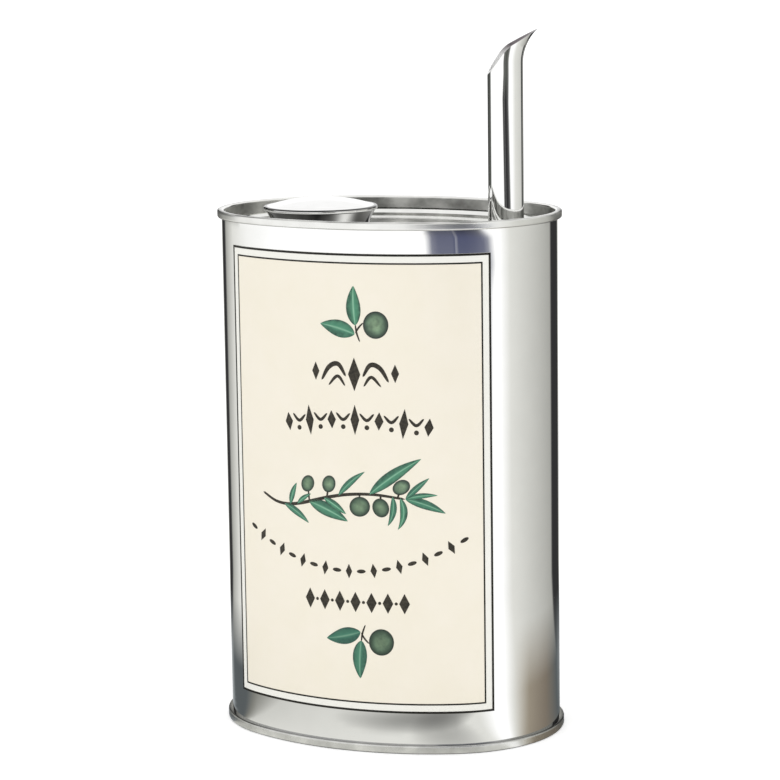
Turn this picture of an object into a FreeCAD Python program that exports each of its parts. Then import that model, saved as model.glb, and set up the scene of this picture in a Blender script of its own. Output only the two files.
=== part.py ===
# Olive oil can: an oval tin closed by a rolled seam at each end, with a pressed filler cap,
# a pouring spout with a bent lip, and a paper label wrapped round its front.
#
# Millimetres, +Z up.  The origin is the middle of the can's base, on the surface it stands on.
# X runs along the oval's long axis, with the spout at its +X end.  The label faces -Y.
import FreeCAD, Part
import math
import os
import Sketcher

SIZES = (
    ("body_width", 88.0, "oval wall across X"),
    ("body_depth", 64.8, "oval wall across Y"),
    ("flank_radius", 63.8, "curve of the oval's two long sides"),
    ("can_height", 133.7, "floor to the top of the upper seam"),
    ("sheet", 0.3, "thickness of the tinplate"),
    ("seam_proud", 1.1, "how far both seams stand out of the wall"),
    ("seam_round", 0.5, "rounding of the seams' edges"),
    ("top_seam", 2.0, "height of the upper seam"),
    ("base_seam", 2.2, "height of the lower seam"),
    ("top_recess", 4.8, "top panel below the upper seam's edge"),
    ("base_recess", 3.0, "base panel above the lower seam's edge"),
    ("panel_round", 0.8, "inside corner between a panel and its wall"),
    ("label_width", 68.2, "label across X"),
    ("label_height", 115.6, "label up Z"),
    ("label_bottom", 10.3, "floor to the label's lower edge"),
    ("label_shift", 1.4, "label's middle from the can's middle, along X"),
    ("label_paper", 0.2, "thickness of the label"),
    ("cap_margin", 9.75, "top recess's wall to the cap's brim, at the can's -X end"),
    ("cap_width", 29.5, "diameter over the cap's rolled brim"),
    ("brim_thick", 1.1, "height of the rolled brim"),
    ("brim_rise", 4.05, "top panel to the underside of the brim"),
    ("plug_width", 25.0, "diameter of the cap where it meets the panel"),
    ("dome_rise", 2.1, "brim's top to the top of the dome"),
    ("dome_margin", 1.1, "brim's edge to the foot of the dome"),
    ("spout_margin", 6.9, "top recess's wall to the spout, at the can's +X end"),
    ("spout_turn", 27.0, "degrees from +X round to the way the lip leans"),
    ("spout_width", 9.0, "outer diameter of the spout"),
    ("spout_wall", 0.5, "thickness of the spout"),
    ("spout_straight", 41.8, "top panel to the start of the bend"),
    ("bend_radius", 15.9, "bend of the spout's axis"),
    ("lip_turn", 48.0, "degrees that the lip bends from upright"),
    ("mouth_low", 39.1, "top panel to the lowest point of the mouth"),
    ("mouth_angle", 55.5, "degrees from level of the mouth's lower cut"),
    ("lip_angle", 29.0, "degrees from level of the cut along the lip"),
    ("lip_corner", 9.0, "rounding between those two cuts"),
)

DOC = FreeCAD.newDocument("OliveOilCan")
SHEET = DOC.addObject("Spreadsheet::Sheet", "Sizes")
VALUE = {}
BODIES = []

# The oval is four tangent arcs, so the radius of its ends follows from the driving sizes.
END_RADIUS = (
    "((Sizes.flank_radius * Sizes.body_depth - (Sizes.body_width / 2)^2 - (Sizes.body_depth / 2)^2)"
    " / (2 * Sizes.flank_radius - Sizes.body_width))"
)
# The flat top panel's height, and half the width of the recess over it.
PANEL = "(Sizes.can_height - Sizes.top_recess)"
RECESS_REACH = "(Sizes.body_width / 2 - 2 * Sizes.sheet)"
# The spout is swept this many degrees past lip_turn, and its mouth's cut runs this far past the tube.
SWEEP_SPARE = 4.0
MOUTH_SPARE = 2.0
# A point this near a plane or an outline lies on it, and a cut smaller than a sliver is no cut.
NEAR = 0.01
SLIVER = 1e-6


def fill_sheet():
    """Write each driving size as plain text in column B, with its alias, beside its name."""
    for row, (alias, value, meaning) in enumerate(SIZES, start=1):
        SHEET.set("A%d" % row, alias)
        SHEET.set("B%d" % row, str(value))
        SHEET.set("C%d" % row, meaning)
        SHEET.setAlias("B%d" % row, alias)
    DOC.recompute()
    for alias, _, _ in SIZES:
        VALUE[alias] = float(SHEET.get(alias))


def end_radius():
    """The radius of the oval's ends, as END_RADIUS gives it."""
    half_width = VALUE["body_width"] / 2
    half_depth = VALUE["body_depth"] / 2
    flank = VALUE["flank_radius"]
    return (2 * flank * half_depth - half_width**2 - half_depth**2) / (2 * (flank - half_width))


def new_body(label, place_x="0", place_z="0", axis="0; 0; 1", turn="0"):
    """A body of its own label, placed by the sheet's sizes and turned about an axis in degrees."""
    body = DOC.addObject("PartDesign::Body", label)
    body.Label = label
    body.setExpression(
        "Placement",
        "create(<<placement>>; create(<<vector>>; %s; 0; %s);"
        " create(<<rotation>>; create(<<vector>>; %s); %s))" % (place_x, place_z, axis, turn),
    )
    BODIES.append(body)
    return body


def new_sketch(body, name, plane, rise=None):
    """A sketch on one of the body's own origin planes, lifted along the plane's normal."""
    sketch = body.newObject("Sketcher::SketchObject", name)
    face = next(part for part in body.Origin.OriginFeatures if part.Role == plane)
    sketch.AttachmentSupport = (face, [""])
    sketch.MapMode = "FlatFace"
    if rise is not None:
        sketch.setExpression("AttachmentOffset.Base.z", rise)
    return sketch


def bind(sketch, kind, where, value, expression):
    """Add a dimension to a sketch and drive it by an expression."""
    number = sketch.addConstraint(Sketcher.Constraint(kind, *where, value))
    sketch.setExpression("Constraints[%d]" % number, expression)


def oval_sketch(body, name, offset, expression, rise=None):
    """The oval outline, moved outward by offset: end, back flank, end, front flank."""
    sketch = new_sketch(body, name, "XY_Plane", rise)
    end = end_radius()
    flank = VALUE["flank_radius"]
    end_x = VALUE["body_width"] / 2 - end
    flank_y = flank - VALUE["body_depth"] / 2
    split = math.atan2(flank_y, end_x)
    arcs = (
        (end_x, 0, end, -split, split),
        (0, -flank_y, flank, split, math.pi - split),
        (-end_x, 0, end, math.pi - split, math.pi + split),
        (0, flank_y, flank, math.pi + split, 2 * math.pi - split),
    )
    for x, y, radius, start, stop in arcs:
        circle = Part.Circle(FreeCAD.Vector(x, y, 0), FreeCAD.Vector(0, 0, 1), radius + offset)
        sketch.addGeometry(Part.ArcOfCircle(circle, start, stop))
    for this in range(4):
        sketch.addConstraint(Sketcher.Constraint("Tangent", this, 2, (this + 1) % 4, 1))
    sketch.addConstraint(Sketcher.Constraint("PointOnObject", 0, 3, -1))
    sketch.addConstraint(Sketcher.Constraint("Symmetric", 0, 3, 2, 3, -1, 1))
    sketch.addConstraint(Sketcher.Constraint("Symmetric", 1, 3, 3, 3, -1, 1))
    bind(sketch, "Radius", (0,), end + offset, "%s + %s" % (END_RADIUS, expression))
    bind(sketch, "DistanceX", (-1, 1, 0, 3), end_x, "Sizes.body_width / 2 - %s" % END_RADIUS)
    bind(sketch, "Radius", (1,), flank + offset, "Sizes.flank_radius + %s" % expression)
    return sketch


def pad(body, name, profile, length):
    """Raise a profile along its sketch's normal."""
    feature = body.newObject("PartDesign::Pad", name)
    feature.Profile = profile
    feature.setExpression("Length", length)
    DOC.recompute()
    return feature


def cut(body, name, profile, depth=None, symmetric=False, reverse=False):
    """Cut a profile out of the body, and check that something was taken away."""
    before = body.Shape.Volume
    feature = body.newObject("PartDesign::Pocket", name)
    feature.Profile = profile
    feature.Reversed = reverse
    if symmetric:
        feature.SideType = "Symmetric"
    if depth is None:
        feature.Type = "ThroughAll"
    else:
        feature.setExpression("Length", depth)
    DOC.recompute()
    if body.Shape.Volume > before - SLIVER:
        raise RuntimeError("%s cuts nothing from %s" % (name, body.Label))
    return feature


def round_edges(body, name, radius, wanted):
    """Fillet the edges whose middle point passes the test wanted(middle)."""
    base = body.Tip
    names = []
    for number, edge in enumerate(base.Shape.Edges, start=1):
        middle = edge.valueAt((edge.FirstParameter + edge.LastParameter) / 2)
        if wanted(middle):
            names.append("Edge%d" % number)
    if not names:
        raise RuntimeError("%s finds no edge on %s" % (name, body.Label))
    feature = body.newObject("PartDesign::Fillet", name)
    feature.Base = (base, names)
    feature.setExpression("Radius", radius)
    DOC.recompute()
    return feature


def outside(point, offset):
    """How far a point in plan lies outside the oval outline moved outward by offset."""
    end = end_radius()
    flank = VALUE["flank_radius"]
    end_x = VALUE["body_width"] / 2 - end
    flank_y = flank - VALUE["body_depth"] / 2
    x = abs(point.x)
    y = abs(point.y)
    on_end = math.hypot(x - end_x, y) - end
    on_flank = math.hypot(x, y + flank_y) - flank
    beside_end = (x - end_x) * flank_y > y * end_x
    return (on_end if beside_end else on_flank) - offset


def make_wall():
    """The can's oval wall with what it holds: one shut solid, recessed for each end."""
    body = new_body("can_body", place_z="Sizes.base_seam")
    height = "Sizes.can_height - Sizes.top_seam - Sizes.base_seam"
    pad(body, "Wall", oval_sketch(body, "WallOutline", 0, "0"), height)
    top = oval_sketch(body, "TopRecessOutline", -VALUE["sheet"], "(-Sizes.sheet)", height)
    cut(body, "TopRecess", top, "Sizes.top_recess + Sizes.sheet - Sizes.top_seam")
    base = oval_sketch(body, "BaseRecessOutline", -VALUE["sheet"], "(-Sizes.sheet)")
    depth = "Sizes.base_recess + Sizes.sheet - Sizes.base_seam"
    cut(body, "BaseRecess", base, depth, reverse=True)


def make_end(label, seam, recess, place_z, turn):
    """A pressed end: a flat panel, a liner inside the wall, and the seam rolled over the wall."""
    body = new_body(label, place_z=place_z, axis="1; 0; 0", turn=turn)
    height = "Sizes.%s + Sizes.sheet" % recess
    liner = oval_sketch(body, label + "_liner", -VALUE["sheet"], "(-Sizes.sheet)")
    pad(body, label + "_cup", liner, height)
    rise = "%s - Sizes.%s" % (height, seam)
    proud = oval_sketch(body, label + "_seam", VALUE["seam_proud"], "Sizes.seam_proud", rise)
    pad(body, label + "_roll", proud, "Sizes.%s" % seam)
    inner = -2 * VALUE["sheet"]
    hollow = oval_sketch(body, label + "_hollow", inner, "(-2 * Sizes.sheet)", height)
    cut(body, label + "_recess", hollow, "Sizes.%s" % recess)
    edge = VALUE[recess] + VALUE["sheet"]

    def on_panel(middle):
        return abs(middle.z - VALUE["sheet"]) < NEAR and abs(outside(middle, inner)) < NEAR

    def on_seam(middle):
        lip = abs(middle.z - edge) < NEAR
        shoulder = abs(middle.z - edge + VALUE[seam]) < NEAR
        return lip or (shoulder and abs(outside(middle, VALUE["seam_proud"])) < NEAR)

    round_edges(body, label + "_corner", "Sizes.panel_round", on_panel)
    round_edges(body, label + "_edges", "Sizes.seam_round", on_seam)


def make_label():
    """The label: a skin on the wall, cut to its width by a window that opens to the front."""
    body = new_body("label", place_z="Sizes.label_bottom")
    skin = oval_sketch(body, "LabelOutline", VALUE["label_paper"], "Sizes.label_paper")
    pad(body, "LabelSkin", skin, "Sizes.label_height")
    cut(body, "LabelBack", oval_sketch(body, "LabelWall", 0, "0"), reverse=True)
    left = VALUE["label_shift"] - VALUE["label_width"] / 2
    right = VALUE["label_shift"] + VALUE["label_width"] / 2
    reach = VALUE["body_width"]
    sides = new_sketch(body, "LabelSides", "XZ_Plane")
    left_rule = "Sizes.label_shift - Sizes.label_width / 2"
    right_rule = "Sizes.label_shift + Sizes.label_width / 2"
    add_strip(sides, -reach, "-Sizes.body_width", left, left_rule)
    add_strip(sides, right, right_rule, reach, "Sizes.body_width")
    cut(body, "LabelSidesCut", sides, symmetric=True)
    rear = new_sketch(body, "LabelRear", "XZ_Plane")
    add_strip(rear, -reach, "-Sizes.body_width", reach, "Sizes.body_width")
    cut(body, "LabelRearCut", rear)


def add_strip(sketch, left, left_rule, right, right_rule):
    """An upright rectangle as tall as the label, between two places along X."""
    top = VALUE["label_height"]
    corners = [FreeCAD.Vector(x, y, 0) for x, y in ((left, 0), (right, 0), (right, top), (left, top))]
    first = sketch.GeometryCount
    for this in range(4):
        sketch.addGeometry(Part.LineSegment(corners[this], corners[(this + 1) % 4]))
    for this, way in enumerate(("Horizontal", "Vertical", "Horizontal", "Vertical")):
        joined = (first + this, 2, first + (this + 1) % 4, 1)
        sketch.addConstraint(Sketcher.Constraint("Coincident", *joined))
        sketch.addConstraint(Sketcher.Constraint(way, first + this))
    sketch.addConstraint(Sketcher.Constraint("PointOnObject", first, 1, -1))
    bind(sketch, "DistanceX", (-1, 1, first, 1), left, left_rule)
    bind(sketch, "DistanceX", (-1, 1, first, 2), right, right_rule)
    bind(sketch, "DistanceY", (first + 1, 1, first + 1, 2), top, "Sizes.label_height")


def make_cap():
    """The filler cap: a tapered plug under a rolled brim and a low dome, turned about its axis."""
    place = "Sizes.cap_margin + Sizes.cap_width / 2 - %s" % RECESS_REACH
    body = new_body("cap", place, PANEL)
    sketch = new_sketch(body, "CapProfile", "XZ_Plane")
    plug = VALUE["plug_width"] / 2
    roll = VALUE["brim_thick"] / 2
    edge = VALUE["cap_width"] / 2
    under = VALUE["brim_rise"]
    over = under + VALUE["brim_thick"]
    foot = edge - VALUE["dome_margin"]
    dome = over + VALUE["dome_rise"]
    spots = {
        "bottom": (0, 0),
        "plug": (plug, 0),
        "under": (edge - roll, under),
        "over": (edge - roll, over),
        "foot": (foot, over),
        "top": (0, dome),
    }
    spot = {name: FreeCAD.Vector(x, y, 0) for name, (x, y) in spots.items()}
    dome_radius = (foot**2 + VALUE["dome_rise"]**2) / (2 * VALUE["dome_rise"])
    dome_side = FreeCAD.Vector(
        dome_radius * math.sin(math.asin(foot / dome_radius) / 2),
        dome - dome_radius * (1 - math.cos(math.asin(foot / dome_radius) / 2)),
        0,
    )
    sketch.addGeometry(Part.LineSegment(spot["bottom"], spot["plug"]))
    sketch.addGeometry(Part.LineSegment(spot["plug"], spot["under"]))
    sketch.addGeometry(Part.Arc(spot["under"], FreeCAD.Vector(edge, under + roll, 0), spot["over"]))
    sketch.addGeometry(Part.LineSegment(spot["over"], spot["foot"]))
    sketch.addGeometry(Part.Arc(spot["foot"], dome_side, spot["top"]))
    sketch.addGeometry(Part.LineSegment(spot["top"], spot["bottom"]))
    outline = ((0, 2, 1, 1), (1, 2, 2, 1), (2, 2, 3, 1), (3, 2, 4, 1), (4, 2, 5, 1), (5, 2, 0, 1))
    for joined in outline:
        sketch.addConstraint(Sketcher.Constraint("Coincident", *joined))
    sketch.addConstraint(Sketcher.Constraint("Coincident", 0, 1, -1, 1))
    sketch.addConstraint(Sketcher.Constraint("Horizontal", 0))
    sketch.addConstraint(Sketcher.Constraint("Vertical", 5))
    sketch.addConstraint(Sketcher.Constraint("Horizontal", 3))
    sketch.addConstraint(Sketcher.Constraint("PointOnObject", 4, 3, -2))
    bind(sketch, "DistanceX", (0, 1, 0, 2), plug, "Sizes.plug_width / 2")
    bind(sketch, "DistanceX", (0, 1, 1, 2), edge - roll, "(Sizes.cap_width - Sizes.brim_thick) / 2")
    bind(sketch, "DistanceX", (0, 1, 2, 3), edge - roll, "(Sizes.cap_width - Sizes.brim_thick) / 2")
    bind(sketch, "DistanceY", (0, 1, 1, 2), under, "Sizes.brim_rise")
    bind(sketch, "DistanceY", (1, 2, 3, 1), 2 * roll, "Sizes.brim_thick")
    bind(sketch, "DistanceX", (0, 1, 3, 2), foot, "Sizes.cap_width / 2 - Sizes.dome_margin")
    bind(sketch, "DistanceY", (3, 2, 5, 1), VALUE["dome_rise"], "Sizes.dome_rise")
    turned = body.newObject("PartDesign::Revolution", "CapTurned")
    turned.Profile = sketch
    turned.ReferenceAxis = (sketch, ["V_Axis"])
    turned.Angle = 360
    DOC.recompute()


def make_spout():
    """The spout: a tube swept up and over, then cut slantwise so that its lip ends in a point."""
    place = "%s - Sizes.spout_margin - Sizes.spout_width / 2" % RECESS_REACH
    body = new_body("spout", place, PANEL, turn="Sizes.spout_turn")
    ring = new_sketch(body, "SpoutRing", "XY_Plane")
    outer = VALUE["spout_width"] / 2
    for radius, rule in (
        (outer, "Sizes.spout_width / 2"),
        (outer - VALUE["spout_wall"], "Sizes.spout_width / 2 - Sizes.spout_wall"),
    ):
        up = FreeCAD.Vector(0, 0, 1)
        number = ring.addGeometry(Part.Circle(FreeCAD.Vector(0, 0, 0), up, radius))
        ring.addConstraint(Sketcher.Constraint("Coincident", number, 3, -1, 1))
        bind(ring, "Radius", (number,), radius, rule)
    tube = body.newObject("PartDesign::AdditivePipe", "SpoutTube")
    tube.Profile = ring
    tube.Spine = (spout_axis(body), ["Edge1", "Edge2"])
    DOC.recompute()
    cut(body, "SpoutMouth", mouth_sketch(body, outer), symmetric=True)


def spout_axis(body):
    """The spout's axis: straight up from the panel, then an arc leaning over along local X."""
    axis = new_sketch(body, "SpoutAxis", "XZ_Plane")
    straight = VALUE["spout_straight"]
    bend = VALUE["bend_radius"]
    sweep = math.radians(VALUE["lip_turn"] + SWEEP_SPARE)
    hub = FreeCAD.Vector(bend, straight, 0)
    axis.addGeometry(Part.LineSegment(FreeCAD.Vector(0, 0, 0), FreeCAD.Vector(0, straight, 0)))
    circle = Part.Circle(hub, FreeCAD.Vector(0, 0, 1), bend)
    axis.addGeometry(Part.ArcOfCircle(circle, math.pi - sweep, math.pi))
    axis.addConstraint(Sketcher.Constraint("Coincident", 0, 1, -1, 1))
    axis.addConstraint(Sketcher.Constraint("Vertical", 0))
    axis.addConstraint(Sketcher.Constraint("Tangent", 0, 2, 1, 2))
    bind(axis, "DistanceY", (0, 1, 0, 2), straight, "Sizes.spout_straight")
    bind(axis, "Radius", (1,), bend, "Sizes.bend_radius")
    tip_rule = "Sizes.bend_radius * sin((Sizes.lip_turn + %s) * 1 deg)" % SWEEP_SPARE
    bind(axis, "DistanceY", (1, 2, 1, 1), bend * math.sin(sweep), tip_rule)
    return axis


def mouth_sketch(body, outer):
    """What the mouth's cut takes away: all above a slanted line, a rounded corner and the lip."""
    sketch = new_sketch(body, "SpoutMouthLine", "XZ_Plane")
    inside = VALUE["bend_radius"] - outer
    lean = math.radians(VALUE["lip_turn"])
    steep = math.radians(VALUE["mouth_angle"])
    shallow = math.radians(VALUE["lip_angle"])
    low = FreeCAD.Vector(-outer, VALUE["mouth_low"], 0)
    tip = FreeCAD.Vector(
        VALUE["bend_radius"] - inside * math.cos(lean),
        VALUE["spout_straight"] + inside * math.sin(lean),
        0,
    )
    rising = FreeCAD.Vector(math.cos(steep), math.sin(steep), 0)
    lying = FreeCAD.Vector(math.cos(shallow), math.sin(shallow), 0)
    gap = tip - low
    along = (gap.x * lying.y - gap.y * lying.x) / (rising.x * lying.y - rising.y * lying.x)
    corner = low + rising * along
    back = VALUE["lip_corner"] * math.tan((steep - shallow) / 2)
    leave = corner - rising * back
    meet = corner + lying * back
    hub = leave + FreeCAD.Vector(rising.y, -rising.x, 0) * VALUE["lip_corner"]
    before = low - rising * (MOUTH_SPARE / math.cos(steep))
    after = tip + lying * (MOUTH_SPARE / math.cos(shallow))
    ceiling = tip.y + 2 * outer
    points = (before, leave, meet, after, FreeCAD.Vector(after.x, ceiling, 0),
              FreeCAD.Vector(before.x, ceiling, 0))
    sketch.addGeometry(Part.LineSegment(points[0], points[1]))
    circle = Part.Circle(hub, FreeCAD.Vector(0, 0, 1), VALUE["lip_corner"])
    sketch.addGeometry(Part.ArcOfCircle(circle, shallow + math.pi / 2, steep + math.pi / 2))
    for this in (2, 3, 4):
        sketch.addGeometry(Part.LineSegment(points[this], points[this + 1]))
    sketch.addGeometry(Part.LineSegment(points[5], points[0]))
    sketch.addConstraint(Sketcher.Constraint("Tangent", 0, 2, 1, 2))
    sketch.addConstraint(Sketcher.Constraint("Tangent", 1, 1, 2, 1))
    for this in (2, 3, 4):
        sketch.addConstraint(Sketcher.Constraint("Coincident", this, 2, this + 1, 1))
    sketch.addConstraint(Sketcher.Constraint("Coincident", 5, 2, 0, 1))
    sketch.addConstraint(Sketcher.Constraint("Vertical", 3))
    sketch.addConstraint(Sketcher.Constraint("Horizontal", 4))
    sketch.addConstraint(Sketcher.Constraint("Vertical", 5))
    bind(sketch, "Angle", (0,), steep, "Sizes.mouth_angle * 1 deg")
    bind(sketch, "Angle", (2,), shallow, "Sizes.lip_angle * 1 deg")
    bind(sketch, "Radius", (1,), VALUE["lip_corner"], "Sizes.lip_corner")
    low_point = sketch.addGeometry(Part.Point(low), True)
    tip_point = sketch.addGeometry(Part.Point(tip), True)
    sketch.addConstraint(Sketcher.Constraint("PointOnObject", low_point, 1, 0))
    sketch.addConstraint(Sketcher.Constraint("PointOnObject", tip_point, 1, 2))
    bind(sketch, "DistanceX", (low_point, 1, -1, 1), outer, "Sizes.spout_width / 2")
    bind(sketch, "DistanceY", (-1, 1, low_point, 1), low.y, "Sizes.mouth_low")
    inside_rule = "(Sizes.bend_radius - Sizes.spout_width / 2)"
    tip_x = "Sizes.bend_radius - %s * cos(Sizes.lip_turn * 1 deg)" % inside_rule
    tip_y = "Sizes.spout_straight + %s * sin(Sizes.lip_turn * 1 deg)" % inside_rule
    bind(sketch, "DistanceX", (-1, 1, tip_point, 1), tip.x, tip_x)
    bind(sketch, "DistanceY", (-1, 1, tip_point, 1), tip.y, tip_y)
    bind(sketch, "DistanceX", (0, 1, low_point, 1), MOUTH_SPARE, str(MOUTH_SPARE))
    bind(sketch, "DistanceX", (tip_point, 1, 2, 2), MOUTH_SPARE, str(MOUTH_SPARE))
    bind(sketch, "DistanceY", (tip_point, 1, 3, 2), ceiling - tip.y, "Sizes.spout_width")
    return sketch


def check_and_export():
    """Stop on any failed object or bad solid, then write one STEP file for each sub-part."""
    DOC.recompute()
    for thing in DOC.Objects:
        if "Invalid" in thing.State or "Error" in thing.State:
            raise RuntimeError("%s is %s" % (thing.Label, thing.State))
    for body in BODIES:
        if body.Shape.isNull() or not body.Shape.isValid() or len(body.Shape.Solids) != 1:
            raise RuntimeError("%s has no single valid solid" % body.Label)
    os.makedirs("parts", exist_ok=True)
    for body in BODIES:
        body.Shape.exportStep("parts/%s.step" % body.Label)
        box = body.Shape.BoundBox
        spans = ((box.XMin, box.XMax), (box.YMin, box.YMax), (box.ZMin, box.ZMax))
        print(body.Label, round(body.Shape.Volume, 1), [(round(a, 2), round(b, 2)) for a, b in spans])


fill_sheet()
make_wall()
make_end("top_end", "top_seam", "top_recess", "%s - Sizes.sheet" % PANEL, "0")
make_end("base_end", "base_seam", "base_recess", "Sizes.base_recess + Sizes.sheet", "180")
make_label()
make_cap()
make_spout()
check_and_export()
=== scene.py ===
"""Looks for the olive oil can: polished steel, cap, spout and a printed paper label.

Lengths are millimetres until a mesh is made, and MM turns them into metres.
A place on the wall is (s, z, lift): s runs along the oval from the front middle towards the spout,
z is the height above the table, and lift is the distance out from the steel.

Each point of a piece carries three marks for its material. On print, "along" and "across" say where it
is on its leaf or olive, and "tint" how deep its green is. On steel, "along" says how deep its painted
shade is and "across" how satin it is.
"""
import math
from collections import namedtuple

import bmesh
import bpy
import numpy as np
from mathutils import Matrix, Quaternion, Vector


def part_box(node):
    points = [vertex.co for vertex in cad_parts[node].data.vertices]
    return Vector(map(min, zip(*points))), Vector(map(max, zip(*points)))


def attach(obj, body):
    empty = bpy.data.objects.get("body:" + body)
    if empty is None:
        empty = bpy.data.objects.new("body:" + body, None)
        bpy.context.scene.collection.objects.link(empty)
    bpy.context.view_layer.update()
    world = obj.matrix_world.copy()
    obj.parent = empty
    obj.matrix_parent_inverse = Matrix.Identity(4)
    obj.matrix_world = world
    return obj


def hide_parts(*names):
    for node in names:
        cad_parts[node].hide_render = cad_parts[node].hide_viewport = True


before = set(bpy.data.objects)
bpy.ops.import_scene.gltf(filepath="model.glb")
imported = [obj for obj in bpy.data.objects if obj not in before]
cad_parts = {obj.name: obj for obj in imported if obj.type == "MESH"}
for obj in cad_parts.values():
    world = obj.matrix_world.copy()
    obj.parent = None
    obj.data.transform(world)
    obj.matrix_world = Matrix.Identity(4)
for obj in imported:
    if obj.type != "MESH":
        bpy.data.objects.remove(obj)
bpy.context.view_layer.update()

MM = 0.001

# The can's outline and its sheet. NEAR is a hair of room between pieces that lie on each other.
FLANK_RADIUS = 63.8
LOOP_POINTS = 720
SHEET = 0.3
LINER = 0.32
NEAR = 0.02

# The rolled seams: how far they stand out from and in from the wall, and how round they are.
SEAM_OUT = 1.1
SEAM_IN = 0.6
SEAM_ROUND = 0.5

# How satin the steel is outside the seams and on the liner inside them.
SEAM_SATIN = 1.0
LINER_SATIN = 1.6

# How deep the painted shade is at each step of a round, 1 being the darkest: up the seam's foot, over its
# outer and its inner shoulder, round the panel's groove, and up the cap's rolled brim.
FOOT_SHADE = (0.9, 0.9, 0.8, 0.6, 0.4, 0.2, 0.1, 0.0, 0.0)
SHOULDER_SHADE = (0.0, 0.0, 0.1, 0.6, 1.0, 1.0, 1.0, 1.0, 1.0)
SEAM_LIP_SHADE = (0.8, 0.2, 0.0, 0.0, 0.0, 0.0, 0.2, 0.5, 0.8)
GROOVE_SHADE = (1.0, 0.7, 0.1, 0.0, 0.0, 0.0, 0.0, 0.0, 0.2, 1.0, 1.0, 1.0, 1.0, 1.0, 1.0, 1.0)
BRIM_SHADE = (1.0, 1.0, 1.0, 0.7, 0.1, 0.0, 0.0, 0.6, 1.0, 1.0, 1.0, 1.0, 1.0, 1.0)

# How a panel rises to its crown: the distance in from its groove, and the part of the rise.
CROWN_STEPS = ((0.2, 0.0), (0.35, 0.01), (2.0, 0.1), (5.0, 0.28), (9.0, 0.5), (14.0, 0.75))

# The cap. Its plug flares from the panel to the brim, and is painted dark as shade, with one painted
# highlight, its gleam, running up its side.
CAP_POINTS = 256
PLUG_RADIUS = 12.5
PLUG_BEVEL = 0.5
PLUG_FLARE = 1.6
BRIM_RISE = 4.05
BRIM_THICK = 1.1
DOME_MARGIN = 1.1
DOME_CREASE = (0.25, 0.02)
GLEAM_BEARING = 28.0
GLEAM_WIDTH = 9.0
GLEAM_LIGHT = 0.9

# The spout, in its own upright plane until it is turned about its foot.
SPOUT_POINTS = 160
SPOUT_RADIUS = 4.5
BORE_RADIUS = 4.0
SPOUT_STRAIGHT = 41.8
BEND_RADIUS = 15.9
SPOUT_TURN = 27.0
MOUTH_LOW = 39.1
MOUTH_ANGLE = 55.5
LIP_ANGLE = 29.0
LIP_CORNER = 9.0
LIP_TURN = 48.0
# The search for the mouth's cut along the tube: how far below the mouth it starts, its end and its step.
CUT_MARGIN = 3.0
CUT_END = 60.0
CUT_STEP = 0.2
# The bore's painted shade, a dark mauve, comes in between these distances below the lip's tip.
MOUTH_SHADE_LOW = 6.5
MOUTH_SHADE_FULL = 4.0

# The label: its paper's thickness, the lift of the ink's two faces, and the printed lines.
PAPER = 0.2
INK_LOW = 0.18
INK_HIGH = 0.235
MARGIN_WIDTH = 2.3
OUTER_LINE = 0.55
INNER_LINE = 0.4
INNER_LINE_INSET = 2.15

# The camera, in metres, and its bearing from the can in degrees.
CAMERA_PLACE = (0.2848, -0.6782, 0.2093)
CAMERA_AIM = (0.0, -0.0005, 0.0868)
CAMERA_ROLL = -0.80
CAMERA_LENS = 133.6
CAMERA_SENSOR = 36.0
CAMERA_AZIMUTH = -67.2


def box_mm(node):
    """Lowest and highest corner of a CAD node, in millimetres."""
    low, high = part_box(node)
    return np.array(low) / MM, np.array(high) / MM


WALL_LOW, WALL_HIGH = box_mm("can_body")
TOP_HIGH = box_mm("top_end")[1]
BASE_HIGH = box_mm("base_end")[1]
PAPER_LOW, PAPER_HIGH = box_mm("label")
CAP_LOW, CAP_HIGH = box_mm("cap")
SPOUT_LOW = box_mm("spout")[0]
HALF_WIDTH = WALL_HIGH[0]
HALF_DEPTH = WALL_HIGH[1]
PANEL = CAP_LOW[2]

# An end of the can: its seam's height, its panel's depth, its groove's radius, its panel's crown, and
# whether it is turned over.
End = namedtuple("End", "seam recess groove crown turned")
TOP_END = End(seam=2.0, recess=TOP_HIGH[2] - PANEL, groove=1.5, crown=0.6, turned=False)
BASE_END = End(seam=2.2, recess=3.0, groove=0.8, crown=0.0, turned=True)


# ---------------------------------------------------------------- the oval

END_RADIUS = (2 * FLANK_RADIUS * HALF_DEPTH - HALF_WIDTH ** 2 - HALF_DEPTH ** 2) / (
    2 * (FLANK_RADIUS - HALF_WIDTH))
END_CENTRE = HALF_WIDTH - END_RADIUS
FLANK_CENTRE = FLANK_RADIUS - HALF_DEPTH
FLANK_TURN = math.atan2(END_CENTRE, FLANK_CENTRE)
FLANK_LENGTH = FLANK_RADIUS * FLANK_TURN


def outline(turn, offset):
    """Points (x, y) of the oval pushed out by offset; turn is the normal's angle from the front."""
    turn = np.asarray(turn, float)
    side = np.abs(turn)
    front = side <= FLANK_TURN
    back = side >= math.pi - FLANK_TURN
    radius = np.where(front | back, FLANK_RADIUS, END_RADIUS) + offset
    centre_x = np.where(front | back, 0.0, np.sign(turn) * END_CENTRE)
    centre_y = np.where(front, FLANK_CENTRE, np.where(back, -FLANK_CENTRE, 0.0))
    return centre_x + radius * np.sin(turn), centre_y - radius * np.cos(turn)


def turn_at(s):
    """The normal's angle at length s along the steel from the front middle."""
    s = np.asarray(s, float)
    beyond = np.abs(s) - FLANK_LENGTH
    turn = np.where(beyond <= 0, np.abs(s) / FLANK_RADIUS, FLANK_TURN + beyond / END_RADIUS)
    return np.sign(s) * turn


def length_at(x):
    """The length along the steel from the front middle to a place x on one of the oval's ends."""
    turn = math.asin((abs(x) - END_CENTRE) / END_RADIUS)
    return math.copysign(FLANK_LENGTH + END_RADIUS * (turn - FLANK_TURN), x)


LABEL_LEFT = length_at(PAPER_LOW[0])
LABEL_RIGHT = length_at(PAPER_HIGH[0])


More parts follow.
